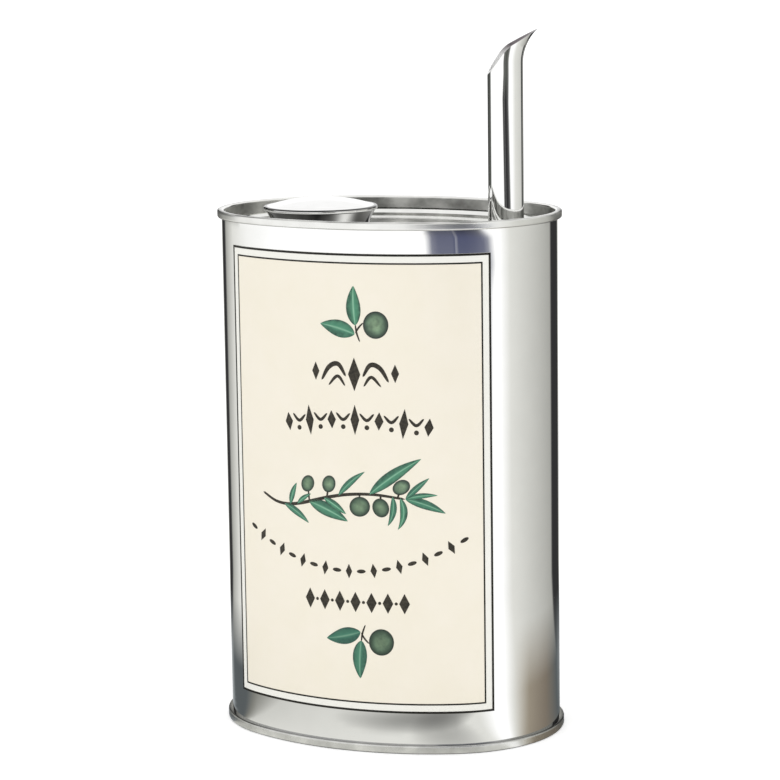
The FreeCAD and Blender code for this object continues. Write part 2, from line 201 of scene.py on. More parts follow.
def wrap(places):
    """Wall places (s, z, lift) as points in the row frame."""
    places = np.asarray(places, float)
    x, y = outline(turn_at(places[:, 0]), places[:, 2])
    return np.stack([x, y, places[:, 1]], 1)


# ---------------------------------------------------------------- meshes

def loft(rows, joined=False):
    """Points and faces of a closed skin through loops of points; a loop of one point ends it."""
    starts = np.cumsum([0] + [len(row) for row in rows])
    faces = []
    pairs = [(i, i + 1) for i in range(len(rows) - 1)]
    if joined:
        pairs.append((len(rows) - 1, 0))
    for i, j in pairs:
        a, b = starts[i], starts[j]
        n = max(len(rows[i]), len(rows[j]))
        for k in range(n):
            m = (k + 1) % n
            if len(rows[i]) == 1:
                faces.append((a, b + k, b + m))
            elif len(rows[j]) == 1:
                faces.append((a + k, b, a + m))
            else:
                faces.append((a + k, b + k, b + m, a + m))
    return np.concatenate(rows), faces


class Skin:
    """Collects closed lofts, with their marks and materials, for one piece."""

    def __init__(self):
        self.points = []
        self.faces = []
        self.kinds = []
        self.marks = []
        self.count = 0

    def add(self, points, faces, marks=None, kinds=None):
        """Takes one closed loft, with marks (along, across, tint) by point and kinds of material by face."""
        self.points.append(points)
        self.faces += [tuple(int(i) + self.count for i in face) for face in faces]
        self.kinds += kinds or [0] * len(faces)
        self.marks.append(np.zeros((len(points), 3)) if marks is None else marks)
        self.count += len(points)


def new_object(name, data):
    """An object in the scene, for a mesh or a camera."""
    thing = bpy.data.objects.new(name, data)
    bpy.context.scene.collection.objects.link(thing)
    return thing


def make_piece(name, skin, materials, sharp):
    """Makes the mesh object, smooth shaded up to the angle sharp, riding on the can."""
    mesh = bpy.data.meshes.new(name)
    points = np.concatenate(skin.points) * MM
    mesh.from_pydata(points.tolist(), [], skin.faces)
    marks = np.concatenate(skin.marks)
    for column, mark in enumerate(("along", "across", "tint")):
        layer = mesh.attributes.new(mark, "FLOAT", "POINT")
        layer.data.foreach_set("value", marks[:, column].astype(np.float32))
    for material in materials:
        mesh.materials.append(material)
    mesh.polygons.foreach_set("material_index", skin.kinds)
    mesh.polygons.foreach_set("use_smooth", [True] * len(mesh.polygons))
    work = bmesh.new()
    work.from_mesh(mesh)
    bmesh.ops.recalc_face_normals(work, faces=work.faces)
    work.to_mesh(mesh)
    work.free()
    mesh.set_sharp_from_angle(angle=math.radians(sharp))
    piece = new_object(name, mesh)
    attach(piece, "root")
    return piece


def round_rows(centre, profile, count):
    """Loops round an upright axis, one for each (radius, z) of a profile, and the angles of their points."""
    turns = np.linspace(0, 2 * math.pi, count, endpoint=False)
    rows = [np.stack([centre[0] + radius * np.cos(turns), centre[1] + radius * np.sin(turns),
                      np.full(count, z)], 1) for radius, z in profile]
    return rows, turns


def arc(centre, radius, start, end, steps=8):
    """Points of an arc in a profile, from one angle to another, in degrees."""
    angles = np.radians(np.linspace(start, end, steps + 1))
    return [(centre[0] + radius * math.cos(a), centre[1] + radius * math.sin(a)) for a in angles]


def line(start, end, steps):
    """Points of a straight stretch of a profile, without its last point."""
    return [tuple(place) for place in np.linspace(start, end, steps, endpoint=False)]


def oval_rows(profile):
    """Loops round the can, one for each (offset, z) of a profile."""
    turns = np.linspace(-math.pi, math.pi, LOOP_POINTS, endpoint=False)
    rows = []
    for offset, z in profile:
        x, y = outline(turns, offset)
        rows.append(np.stack([x, y, np.full(LOOP_POINTS, z)], 1))
    return rows


def shrink(loop, scale, z):
    """A loop drawn in towards the can's middle at height z."""
    inner = loop.copy()
    inner[:, :2] *= scale
    inner[:, 2] = z
    return inner


# ---------------------------------------------------------------- the can's pieces

def make_wall(material):
    """The wall: one smooth oval tube, shut by flat lids under the two ends."""
    top = WALL_HIGH[2] - NEAR
    foot = WALL_LOW[2] + NEAR
    inner = -LINER - NEAR
    lid = PANEL - SHEET - 2 * NEAR
    floor = BASE_HIGH[2] + NEAR
    profile = [(inner, lid), (inner, top)]
    profile += line((0, top), (0, foot), 60)
    profile += [(0, foot), (inner, foot), (inner, floor)]
    rows = oval_rows(profile)
    rows = [np.array([[0, 0, lid]]), shrink(rows[0], 0.5, lid)] + rows
    rows += [shrink(rows[-1], 0.5, floor), np.array([[0, 0, floor]])]
    skin = Skin()
    skin.add(*loft(rows))
    piece = make_piece("wall", skin, [material], sharp=40)
    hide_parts("can_body")


def shaded(points, deep):
    """Adds a depth of painted shade to each point of a profile: one for all, or one for each."""
    if isinstance(deep, float):
        deep = [deep] * len(points)
    return [(offset, z, mark) for (offset, z), mark in zip(points, deep)]


def end_profile(seam_height, seam_top, panel, groove):
    """Profile of the top end: under its panel, out over the seam, down the liner, round the groove.

    Each point is (offset, z, deep), deep being how deep its painted shade is, 1 where the steel is darkest.
    """
    seam_foot = seam_top - seam_height
    outer = SEAM_OUT - SEAM_ROUND
    inner = SEAM_ROUND - SEAM_IN
    low = seam_foot + SEAM_ROUND
    high = seam_top - SEAM_ROUND
    # Painted shade: where the seam meets the wall, round the seam's foot and shoulders, down the liner and
    # round the groove.
    profile = shaded([(-LINER, panel - SHEET), (-LINER, seam_foot), (0.0, seam_foot)], (0.0, 0.0, 0.6))
    profile += shaded(arc((outer, low), SEAM_ROUND, -90, 0), FOOT_SHADE)
    profile += shaded(line((SEAM_OUT, low), (SEAM_OUT, high), 6)[1:], 0.0)
    profile += shaded(arc((outer, high), SEAM_ROUND, 0, 90), SHOULDER_SHADE)
    profile += shaded(arc((inner, high), SEAM_ROUND, 90, 180), SEAM_LIP_SHADE)
    profile += shaded(line((-SEAM_IN, high), (-SEAM_IN, panel + groove), 10)[1:], 1.0)
    profile += shaded(arc((-SEAM_IN - groove, panel + groove), groove, 0, -90, 15), GROOVE_SHADE)
    return profile


def satin_at(offset, z, panel):
    """How satin the steel is at a point of an end's profile."""
    if offset > 0.1:
        return SEAM_SATIN
    if offset == -SEAM_IN and z > panel:
        return LINER_SATIN
    return 0.0


def pull_in(loop, distance, z):
    """A loop moved in by a distance, along its own normals, at height z."""
    ahead = np.roll(loop, -1, 0)[:, :2] - np.roll(loop, 1, 0)[:, :2]
    ahead /= np.linalg.norm(ahead, axis=1)[:, None]
    inner = loop.copy()
    inner[:, 0] -= ahead[:, 1] * distance
    inner[:, 1] += ahead[:, 0] * distance
    inner[:, 2] = z
    return inner


def panel_rows(loop, panel, crown):
    """The panel inside the groove, crowned a little, as loops in to the middle."""
    rows = [pull_in(loop, inward, panel + crown * part) for inward, part in CROWN_STEPS]
    last = rows[-1]
    left = 1 - CROWN_STEPS[-1][1]
    for scale in (0.85, 0.7, 0.55, 0.4, 0.25, 0.1):
        rows.append(shrink(last, scale, panel + crown * (1 - left * scale ** 2)))
    return rows + [np.array([[0, 0, panel + crown]])]


def per_point(rows, values):
    """One value for each row, repeated for each of the row's points."""
    return np.concatenate([np.full(len(row), value) for row, value in zip(rows, values)])


def make_end(name, node, material, end):
    """One end of the can. The base end is the top end's profile turned over."""
    low, high = box_mm(node)
    height = high[2] - low[2]
    panel = height - end.recess
    under = panel - SHEET
    profile = end_profile(end.seam, height, panel, end.groove)
    rows = oval_rows([(offset, z) for offset, z, _ in profile])
    rows = [np.array([[0, 0, under]]), shrink(rows[0], 0.5, under)] + rows
    inside = panel_rows(rows[-1], panel, end.crown)
    rows += inside
    # The panel's first loop, at the groove's foot, is painted dark too, as shade in the groove.
    deep = [0.0, 0.0] + [mark for _, _, mark in profile] + [1.0] + [0.0] * (len(inside) - 1)
    satin = [0.0, 0.0] + [satin_at(offset, z, panel) for offset, z, _ in profile] + [0.0] * len(inside)
    points, faces = loft(rows)
    if end.turned:
        points[:, 2] = high[2] - points[:, 2]
    else:
        points[:, 2] += low[2]
    skin = Skin()
    marks = np.stack([per_point(rows, deep), per_point(rows, satin), np.zeros(len(points))], 1)
    skin.add(points, faces, marks)
    piece = make_piece(name, skin, [material], sharp=50)
    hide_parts(node)


def make_cap(material):
    """The filler cap: a plug, a rolled brim and a low dome, turned round its own axis; plug and brim carry
    painted shade.
    """
    centre = (CAP_LOW + CAP_HIGH) / 2
    radius = (CAP_HIGH[0] - CAP_LOW[0]) / 2
    foot = CAP_LOW[2]
    brim = foot + BRIM_RISE
    brim_top = brim + BRIM_THICK
    brim_round = BRIM_THICK / 2
    edge = radius - brim_round
    plug = [(PLUG_RADIUS - PLUG_BEVEL, foot)]
    for part in np.linspace(0, 1, 21):
        plug.append((PLUG_RADIUS + (edge - PLUG_RADIUS) * part ** PLUG_FLARE, foot + BRIM_RISE * part))
    roll = arc((edge, brim + brim_round), brim_round, -80, 90, 12)
    dome_radius = radius - DOME_MARGIN
    dome_rise = CAP_HIGH[2] - brim_top
    curvature = (dome_radius ** 2 + dome_rise ** 2) / (2 * dome_rise)
    dome = [(dome_radius + DOME_CREASE[0], brim_top - DOME_CREASE[1]), (dome_radius, brim_top)]
    for part in np.linspace(0, 1, 31)[1:-1]:
        reach = dome_radius * (1 - part)
        rise = math.sqrt(curvature ** 2 - reach ** 2) - (curvature - dome_rise)
        dome.append((reach, brim_top + rise))
    rows, turns = round_rows(centre, plug + roll + dome, CAP_POINTS)
    rows = [np.array([[*centre[:2], foot]]), *rows, np.array([[*centre[:2], CAP_HIGH[2]]])]
    points, faces = loft(rows)
    # The plug is painted dark as shade under the brim, with one painted highlight up its side at a bearing
    # from the camera; the brim is painted with a dark line and a dark band, a highlight left between them.
    gleam = (np.degrees(turns) - CAMERA_AZIMUTH - GLEAM_BEARING + 180) % 360 - 180
    plug_painted_shade = 1.0 - GLEAM_LIGHT * np.exp(-(gleam / GLEAM_WIDTH) ** 2)
    start = 1 + len(plug)
    deep = [0.0] * start + list(BRIM_SHADE) + [0.0] * (len(rows) - start - len(BRIM_SHADE))
    marks = np.zeros((len(points), 3))
    marks[:, 0] = per_point(rows, deep)
    marks[1:1 + len(plug) * CAP_POINTS, 0] = np.tile(plug_painted_shade, len(plug))
    skin = Skin()
    skin.add(points, faces, marks)
    piece = make_piece("cap_shell", skin, [material], sharp=50)
    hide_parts("cap")


def mouth_height():
    """The mouth's cut as a function: the height of the cut above the foot at x along the bend."""
    steep = math.radians(MOUTH_ANGLE)
    shallow = math.radians(LIP_ANGLE)
    lean = math.radians(LIP_TURN)
    inside = BEND_RADIUS - SPOUT_RADIUS
    low = np.array([-SPOUT_RADIUS, MOUTH_LOW])
    tip = np.array([BEND_RADIUS - inside * math.cos(lean), SPOUT_STRAIGHT + inside * math.sin(lean)])
    rising = np.array([math.cos(steep), math.sin(steep)])
    lying = np.array([math.cos(shallow), math.sin(shallow)])
    gap = tip - low
    along = (gap[0] * lying[1] - gap[1] * lying[0]) / (rising[0] * lying[1] - rising[1] * lying[0])
    corner = low + rising * along
    back = LIP_CORNER * math.tan((steep - shallow) / 2)
    leave = corner - rising * back
    meet = corner + lying * back
    hub = leave + np.array([rising[1], -rising[0]]) * LIP_CORNER

    def height(x):
        if x <= leave[0]:
            return low[1] + (x - low[0]) * math.tan(steep)
        if x >= meet[0]:
            return tip[1] + (x - tip[0]) * math.tan(shallow)
        return hub[1] + math.sqrt(LIP_CORNER ** 2 - (x - hub[0]) ** 2)
    return height


def tube_point(length, angle, radius):
    """A point of the spout in its own plane: length along the axis, angle round it."""
    across = radius * math.cos(angle)
    side = radius * math.sin(angle)
    if length <= SPOUT_STRAIGHT:
        return np.array([across, side, length])
    lean = (length - SPOUT_STRAIGHT) / BEND_RADIUS
    reach = BEND_RADIUS - across
    return np.array([BEND_RADIUS - reach * math.cos(lean), side,
                     SPOUT_STRAIGHT + reach * math.sin(lean)])


def cut_length(angle, radius, height):
    """Where the line of the tube at this angle meets the mouth's cut."""
    def beyond(length):
        point = tube_point(length, angle, radius)
        return point[2] > height(point[0])

    low = MOUTH_LOW - CUT_MARGIN
    high = low
    while high < CUT_END and not beyond(high):
        low = high
        high += CUT_STEP
    for _ in range(30):
        middle = (low + high) / 2
        if beyond(middle):
            high = middle
        else:
            low = middle
    return low


def turn_about(row, degrees, foot):
    """Points turned about the upright axis through their origin, then moved to a foot."""
    turn = math.radians(degrees)
    x = row[:, 0] * math.cos(turn) - row[:, 1] * math.sin(turn)
    y = row[:, 0] * math.sin(turn) + row[:, 1] * math.cos(turn)
    return np.stack([x, y, row[:, 2]], 1) + foot


def make_spout(material, bore):
    """The pouring spout: a thin tube, leaning over at its top, cut slantwise to a pointed lip."""
    foot = np.array([SPOUT_LOW[0] + SPOUT_RADIUS, 0.0, SPOUT_LOW[2]])
    height = mouth_height()
    angles = np.linspace(0, 2 * math.pi, SPOUT_POINTS, endpoint=False)
    # The rows lie closer together towards the mouth.
    parts = np.concatenate([np.linspace(0, 0.6, 25), np.linspace(0.6, 1, 70)[1:]])
    rows = []
    for radius, order in ((SPOUT_RADIUS, parts), (BORE_RADIUS, parts[::-1])):
        ends = [cut_length(angle, radius, height) for angle in angles]
        for part in order:
            row = [tube_point(part * end, angle, radius) for angle, end in zip(angles, ends)]
            rows.append(turn_about(np.array(row), SPOUT_TURN, foot))
    points, faces = loft(rows, joined=True)
    outside = SPOUT_POINTS * (len(parts) - 1)
    kinds = [0 if face[0] < outside else 1 for face in faces]
    tip = points[:, 2].max()
    # The bore is painted a dark mauve shade towards the lip's tip, by its "along" mark.
    marks = np.zeros((len(points), 3))
    marks[:, 0] = np.interp(points[:, 2], [tip - MOUTH_SHADE_LOW, tip - MOUTH_SHADE_FULL], [0, 1])
    skin = Skin()
    skin.add(points, faces, marks, kinds)
    piece = make_piece("spout_tube", skin, [material, bore], sharp=50)
    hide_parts("spout")


# ---------------------------------------------------------------- the label

def sheet_lines(start, end, steps):
    """Grid lines of the paper: its two edges, and even steps between the inner sides of its margins."""
    return [start, *np.linspace(start + MARGIN_WIDTH, end - MARGIN_WIDTH, steps), end]


def make_sheet(margin_material, field_material):
    """The paper: a thin sheet wrapped on the wall, its margin whiter than its field."""
    s_lines = sheet_lines(LABEL_LEFT, LABEL_RIGHT, 140)
    rows = []
    for z in sheet_lines(PAPER_LOW[2], PAPER_HIGH[2], 40):
        front = [(s, z, PAPER) for s in s_lines]
        back = [(s, z, 0.0) for s in reversed(s_lines)]
        rows.append(wrap(front + back))
    points, faces = loft(rows)
    count = len(s_lines)
    loop = 2 * count
    kinds = [1 if 1 <= i < len(rows) - 2 and 1 <= k < count - 2 else 0
             for i in range(len(rows) - 1) for k in range(loop)]
    for base in (0, (len(rows) - 1) * loop):
        faces += [(base + k, base + k + 1, base + loop - 2 - k, base + loop - 1 - k)
                  for k in range(count - 1)]
    kinds += [0] * (len(faces) - len(kinds))
    skin = Skin()
    skin.add(points, faces, kinds=kinds)
    piece = make_piece("label_sheet", skin, [margin_material, field_material], sharp=40)
    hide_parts("label")


def blade(path, half_widths, across):
    """A flat printed shape, pointed at both ends: a centre line (s, z) and its half width at each point."""
    path = np.asarray(path, float)
    half_widths = [0, *half_widths[1:-1], 0]
    ahead = np.gradient(path, axis=0)
    ahead /= np.linalg.norm(ahead, axis=1)[:, None]
    side = np.stack([-ahead[:, 1], ahead[:, 0]], 1)
    lengths = np.concatenate([[0], np.cumsum(np.linalg.norm(np.diff(path, axis=0), axis=1))])
    lengths /= lengths[-1]
    spread = np.linspace(-1, 1, across + 1)
    rows, marks = [], []
    for i, half in enumerate(half_widths):
        if half <= 0:
            rows.append(np.array([[*path[i], INK_HIGH]]))
            marks.append(np.array([[lengths[i], 0, 0]]))
            continue
        row = [(*(path[i] + side[i] * half * u), INK_HIGH) for u in spread]
        row += [(*(path[i] + side[i] * half * u), INK_LOW) for u in spread[::-1]]
        rows.append(np.array(row))
        marks.append(np.array([[lengths[i], u, 0] for u in (*spread, *spread[::-1])]))
    points, faces = loft(rows)
    return wrap(points), faces, np.concatenate(marks)


def curve(points, steps):
    """Points along a Bezier curve."""
    t = np.linspace(0, 1, steps + 1)[:, None]
    points = [np.array(point, float) for point in points]
    while len(points) > 1:
        points = [a * (1 - t) + b * t for a, b in zip(points, points[1:])]
    return points[0]


def smooth_path(points):
    """A Catmull-Rom line through the given points, in eight steps between each two."""
    points = np.asarray(points, float)
    padded = np.concatenate([[2 * points[0] - points[1]], points, [2 * points[-1] - points[-2]]])
    out = []
    for i in range(len(points) - 1):
        p0, p1, p2, p3 = padded[i:i + 4]
        for t in np.linspace(0, 1, 8, endpoint=False):
            out.append(0.5 * (2 * p1 + (p2 - p0) * t + (2 * p0 - 5 * p1 + 4 * p2 - p3) * t ** 2
                              + (3 * p1 - p0 - 3 * p2 + p3) * t ** 3))
    out.append(points[-1])
    return np.array(out)


def add_leaf(skin, base, tip, width, bow, tint):
    """A leaf from base to tip, widest before its middle; bow pushes it to the left of that line."""
    base, tip = np.array(base, float), np.array(tip, float)
    ahead = tip - base
    middle = (base + tip) / 2 + np.array([-ahead[1], ahead[0]]) * bow
    path = curve([base, middle, tip], 26)
    t = np.linspace(0, 1, len(path))
    half = width / 2 * np.sin(math.pi * t ** 0.85) ** 0.8 * (1 - 0.15 * t)
    points, faces, marks = blade(path, half, 8)
    marks[:, 2] = tint
    skin.add(points, faces, marks)


def add_oval(skin, centre, long, short, tilt, tint=0.5):
    """An oval spot, such as an olive or a dot, long and short being half its sizes."""
    tilt = math.radians(tilt)
    ahead = np.array([math.cos(tilt), math.sin(tilt)])
    t = np.cos(np.linspace(math.pi, 0, 21))
    path = np.array(centre) + np.outer(t * long, ahead)
    half = short * np.sqrt(np.maximum(0, 1 - t ** 2))
    points, faces, marks = blade(path, half, 10)
    marks[:, 0] = np.interp(marks[:, 0], [0, 1], [-1, 1])
    marks[:, 1] *= np.sqrt(np.maximum(0, 1 - marks[:, 0] ** 2))
    marks[:, 2] = tint
    skin.add(points, faces, marks)


def add_stroke(skin, points, width, ends=0.25):
    """A pen stroke through points, thinner towards both ends."""
    path = smooth_path(points)
    t = np.linspace(0, 1, len(path))
    half = width / 2 * (ends + (1 - ends) * np.sin(math.pi * t) ** 0.6)
    skin.add(*blade(path, half, 2))


def add_lozenge(skin, centre, height, width, lean=0.0):
    """An upright lozenge, leaning by an angle in degrees."""
    lean = math.radians(lean)
    up = np.array([-math.sin(lean), math.cos(lean)])
    t = np.linspace(-1, 1, 13)
    path = np.array(centre) + np.outer(t * height / 2, up)
    half = width / 2 * (1 - np.abs(t))
    skin.add(*blade(path, half, 2))


def frame_sides(inset, steps=90):
    """Places round a rectangle that lies inside the paper's edge by an inset."""
    left, right = LABEL_LEFT + inset, LABEL_RIGHT - inset
    bottom, top = PAPER_LOW[2] + inset, PAPER_HIGH[2] - inset
    corners = np.array([(left, bottom), (right, bottom), (right, top), (left, top)])
    sides = zip(corners, np.roll(corners, -1, 0))
    return [start + (end - start) * k / steps for start, end in sides for k in range(steps)]


def add_frame(skin, inset, width):
    """A rectangular printed line, its outer edge inside the paper's by an inset, mitred at its corners."""
    rows = [wrap([(*outer, INK_LOW), (*outer, INK_HIGH), (*inner, INK_HIGH), (*inner, INK_LOW)])
            for outer, inner in zip(frame_sides(inset), frame_sides(inset + width))]
    skin.add(*loft(rows, joined=True))


def make_borders(material):
    """The label's two printed lines: one round its edge and one inside it."""
    skin = Skin()
    add_frame(skin, 0.0, OUTER_LINE)
    add_frame(skin, INNER_LINE_INSET, INNER_LINE)
    make_piece("label_borders", skin, [material], sharp=40)


def add_fleuron(skin, middle, level):
    """A tall lozenge with double arcs and a smaller lozenge on each side."""
    outer_arc = ((2.2, -0.6), (4.2, 2.4), (6.7, 1.6), (8.8, -1.8))
    inner_arc = ((2.4, -3.0), (4.4, -0.6), (6.9, -3.0))
    add_lozenge(skin, (middle, level), 8.4, 3.2)
    for side in (-1, 1):
        add_stroke(skin, [(middle + side * x, level + z) for x, z in outer_arc], 1.2)
        add_stroke(skin, [(middle + side * x, level + z) for x, z in inner_arc], 0.8)
        add_lozenge(skin, (middle + side * 10.4, level + 0.4), 4.6, 2.0)


def add_band(skin, middle, level):
    """An arched band of tall and short lozenges, with a beaded swag between each two."""
    pitch = 6.2
    arch = 0.0045
    for step in range(-3, 4):
        reach = step * pitch
        tall = step % 2 == 0
        place = (middle + reach, level - arch * reach ** 2)
        add_lozenge(skin, place, 7.6 if tall else 4.6, 2.3, -reach * 0.35)
        if step < 3:
            reach += pitch / 2
            x, z = middle + reach, level + 0.8 - arch * reach ** 2
            add_stroke(skin, [(x - 1.9, z + 0.9), (x, z - 0.8), (x + 1.9, z + 0.9)], 0.8)
            add_oval(skin, (x, z - 2.6), 0.6, 0.6, 0)


def add_chain(skin, middle, level):
    """A hanging chain of lozenges and long beads."""
    sag = 0.0098
    for step in range(-9, 10):
        reach = step * 3.25
        place = (middle + reach, level + sag * reach ** 2)
        slope = math.degrees(math.atan(2 * sag * reach))
        if step % 2 == 0:
            add_lozenge(skin, place, 3.7, 1.7, slope)
        else:
            add_oval(skin, place, 1.15, 0.5, slope)


def add_row(skin, middle, level):
    """A straight row of lozenges with a dot between each two."""
    pitch = 4.2
    for step in range(-3, 4):
        x = middle + step * pitch
        add_lozenge(skin, (x, level), 5.2, 2.7)
        if step < 3:
            add_oval(skin, (x + pitch / 2, level), 0.4, 0.4, 0)


def make_ornaments(material):
    """The plain ornaments, in four rows from the top down."""
    skin = Skin()
    add_fleuron(skin, 3.9, 96.0)
    add_band(skin, 3.9, 84.6)
    add_chain(skin, 1.7, 46.2)
    add_row(skin, 3.3, 38.4)
    make_piece("label_ornaments", skin, [material], sharp=40)


# The branch's stem is one curve. Its leaves and olives grow from it at a part of its length.
STEM = ((-24.0, 64.0), (-12.0, 57.0), (-6.0, 69.5), (16.5, 65.0))
# Each leaf: part of the stem, direction in degrees, length, width, bow, tint.
BRANCH_LEAVES = (
    (0.22, -30, 8.5, 2.0, 0.10, 0.6),
    (0.28, 70, 6.0, 1.7, 0.10, 0.5),
    (0.35, 35, 5.0, 1.3, 0.10, 0.4),
    (0.46, -22, 11.5, 3.7, 0.06, 0.5),
    (0.58, -32, 7.0, 2.1, 0.05, 0.3),
    (0.68, 42, 9.5, 1.8, 0.10, 0.6),
    (0.85, 35, 16.0, 3.3, 0.06, 0.5),
    (0.95, -100, 7.5, 1.8, 0.20, 0.6),
    (0.98, -95, 8.0, 2.0, 0.30, 0.4),
    (1.00, -20, 10.5, 2.5, 0.08, 0.6),
    (1.00, 7, 8.0, 1.5, 0.10, 0.4),
    (1.00, 42, 8.0, 1.7, 0.05, 0.7),
)
# Each olive: part of the stem, direction and distance of its middle, half its length and width, tilt, tint.
BRANCH_OLIVES = (
    (0.46, 95, 4.5, 2.2, 1.8, 60, 0.6),
    (0.60, 80, 3.5, 2.2, 1.8, 70, 0.5),
    (0.80, -90, 3.2, 2.7, 2.5, 20, 0.7),
    (0.90, -90, 3.2, 2.4, 2.1, 110, 0.8),
    (0.97, 70, 2.8, 2.3, 1.8, 30, 0.5),
)
# Each small sprig: name, where its leaves meet, 1 if it points up or -1 if it points down, tint.
SMALL_SPRIGS = (("top", (4.4, 107.0), 1, 0.45), ("bottom", (4.7, 29.8), -1, 0.85))
# A small sprig's leaves, from where they meet: base, tip, width, bow, how much deeper its tint is.
SMALL_LEAVES = (
    ((0.0, 1.2), (-0.4, 11.0), 4.0, 0.06, -0.1),
    ((-0.2, -1.0), (-9.4, 1.3), 4.5, -0.06, 0.1),
)
# Its two stalks, and its olive: middle, half its length and its width, tilt.
SMALL_STALKS = (
    ((0.0, 1.4), (0.3, -0.6), (1.1, -2.9)),
    ((0.0, -0.8), (0.8, 0.6), (2.0, 1.9)),
)
SMALL_OLIVE = ((5.2, 1.4), 3.4, 3.2, 80)


def reach_from(start, degrees, distance):
    """The place at a distance from start in a direction."""
    angle = math.radians(degrees)
    return np.array(start) + distance * np.array([math.cos(angle), math.sin(angle)])


def stem_place(part):
    """The place on the branch's stem at a part of its curve."""
    return curve(STEM, 100)[round(part * 100)]


def make_branch(leaf, olive, stems):
    """The branch across the label's middle; its stem and stalks go to the stems."""
    skin = Skin()
    for part, way, length, width, bow, tint in BRANCH_LEAVES:
        base = stem_place(part)
        add_leaf(skin, base, reach_from(base, way, length), width, bow, tint)
    make_piece("sprig_branch_leaves", skin, [leaf], sharp=40)
    skin = Skin()
    for part, way, distance, long, short, tilt, tint in BRANCH_OLIVES:
        base = stem_place(part)
        add_oval(skin, reach_from(base, way, distance), long, short, tilt, tint)
        gap = distance - short
        add_stroke(stems, [reach_from(base, way, gap * step / 2) for step in range(3)], 0.5, 0.6)
    make_piece("sprig_branch_olives", skin, [olive], sharp=40)
    add_stroke(stems, curve(STEM, 8), 0.85, 0.6)


def make_small_sprig(name, joint, up, tint, leaf, olive, stems):
    """A sprig of two leaves and an olive, pointing up or down."""
    def place(point):
        return np.array(joint) + (point[0], point[1] * up)

    skin = Skin()
    for base, tip, width, bow, deeper in SMALL_LEAVES:
        add_leaf(skin, place(base), place(tip), width, bow * up, tint + deeper)
    make_piece("sprig_%s_leaves" % name, skin, [leaf], sharp=40)
    skin = Skin()
    middle, long, short, tilt = SMALL_OLIVE
    add_oval(skin, place(middle), long, short, tilt, tint)
    make_piece("sprig_%s_olive" % name, skin, [olive], sharp=40)
    for stalk in SMALL_STALKS:
        add_stroke(stems, [place(point) for point in stalk], 0.45, 0.5)


def make_sprigs(leaf, olive, ink):
    """The three sprigs, their stems joined in one piece."""
    stems = Skin()
    make_branch(leaf, olive, stems)
    for name, joint, up, tint in SMALL_SPRIGS:
        make_small_sprig(name, joint, up, tint, leaf, olive, stems)
    make_piece("sprig_stems", stems, [ink], sharp=40)


# ---------------------------------------------------------------- materials

def srgb(value):
    """A display value from 0 to 255 as linear light."""
    value = value / 255
    return value / 12.92 if value <= 0.04045 else ((value + 0.055) / 1.055) ** 2.4


def colour(red, green, blue):
    """A display colour as a linear RGBA."""
    return (srgb(red), srgb(green), srgb(blue), 1.0)


class Nodes:
    """A material and short calls that add and join its nodes."""

    def __init__(self, name):
        self.material = bpy.data.materials.new(name)
        self.material.use_nodes = True
        self.tree = self.material.node_tree
        self.shader = self.tree.nodes["Principled BSDF"]

    def feed(self, socket, value):
        """Gives an input a constant or another node's output."""
        if isinstance(value, (int, float, tuple)):
            socket.default_value = value
        else:
            self.tree.links.new(value, socket)

    def add(self, kind, inputs=None, **settings):
        """Adds a node, sets its properties and feeds its inputs."""
        node = self.tree.nodes.new(kind)
        for key, value in settings.items():
            setattr(node, key, value)
        for key, value in (inputs or {}).items():
            self.feed(node.inputs[key], value)
        return node

    def shade(self, name, value):
        """Feeds one input of the shader."""
        self.feed(self.shader.inputs[name], value)

    def noise(self, scale, detail, stretch=(1, 1, 1)):
        """A noise over the object's own coordinates, stretched."""
        source = self.add("ShaderNodeTexCoord").outputs["Object"]
        place = self.add("ShaderNodeMapping", {"Vector": source, "Scale": stretch}).outputs["Vector"]
        node = self.add("ShaderNodeTexNoise", {"Vector": place, "Scale": scale, "Detail": detail})
        return node.outputs["Fac"]

    def mark(self, name):
        """A number that the mesh carries for each point."""
        return self.add("ShaderNodeAttribute", attribute_name=name).outputs["Fac"]

    def ramp(self, factor, stops):
        """A colour ramp with (position, colour) stops."""
        node = self.add("ShaderNodeValToRGB")
        elements = node.color_ramp.elements
        while len(elements) < len(stops):
            elements.new(0.5)
        for element, (place, shade) in zip(elements, stops):
            element.position = place
            element.color = shade
        self.feed(node.inputs["Fac"], factor)
        return node.outputs["Color"]

    def span(self, factor, low, high, start=0.3, end=0.7):
        """A factor between start and end mapped to low and high."""
        node = self.add("ShaderNodeMapRange", {"Value": factor, "From Min": start, "From Max": end,
                                               "To Min": low, "To Max": high})
        return node.outputs["Result"]

    def maths(self, kind, *values):
        """A maths node on one or two values, each an output or a number."""
        node = self.add("ShaderNodeMath", operation=kind)
        for socket, value in zip(node.inputs, values):
            self.feed(socket, value)
        return node.outputs["Value"]

    def mix(self, factor, first, second):
        """Mixes two colours by a factor, each an output or a constant."""
        node = self.add("ShaderNodeMix", data_type="RGBA")
        sockets = [socket for socket in node.inputs if socket.enabled]
        for socket, value in zip(sockets, (factor, first, second)):
            self.feed(socket, value)
        return [socket for socket in node.outputs if socket.enabled][0]

    def bump(self, height, distance):
        """A bump on the shader's normal, its height in metres."""
        node = self.add("ShaderNodeBump", {"Height": height, "Distance": distance, "Strength": 1.0})
        self.shade("Normal", node.outputs["Normal"])


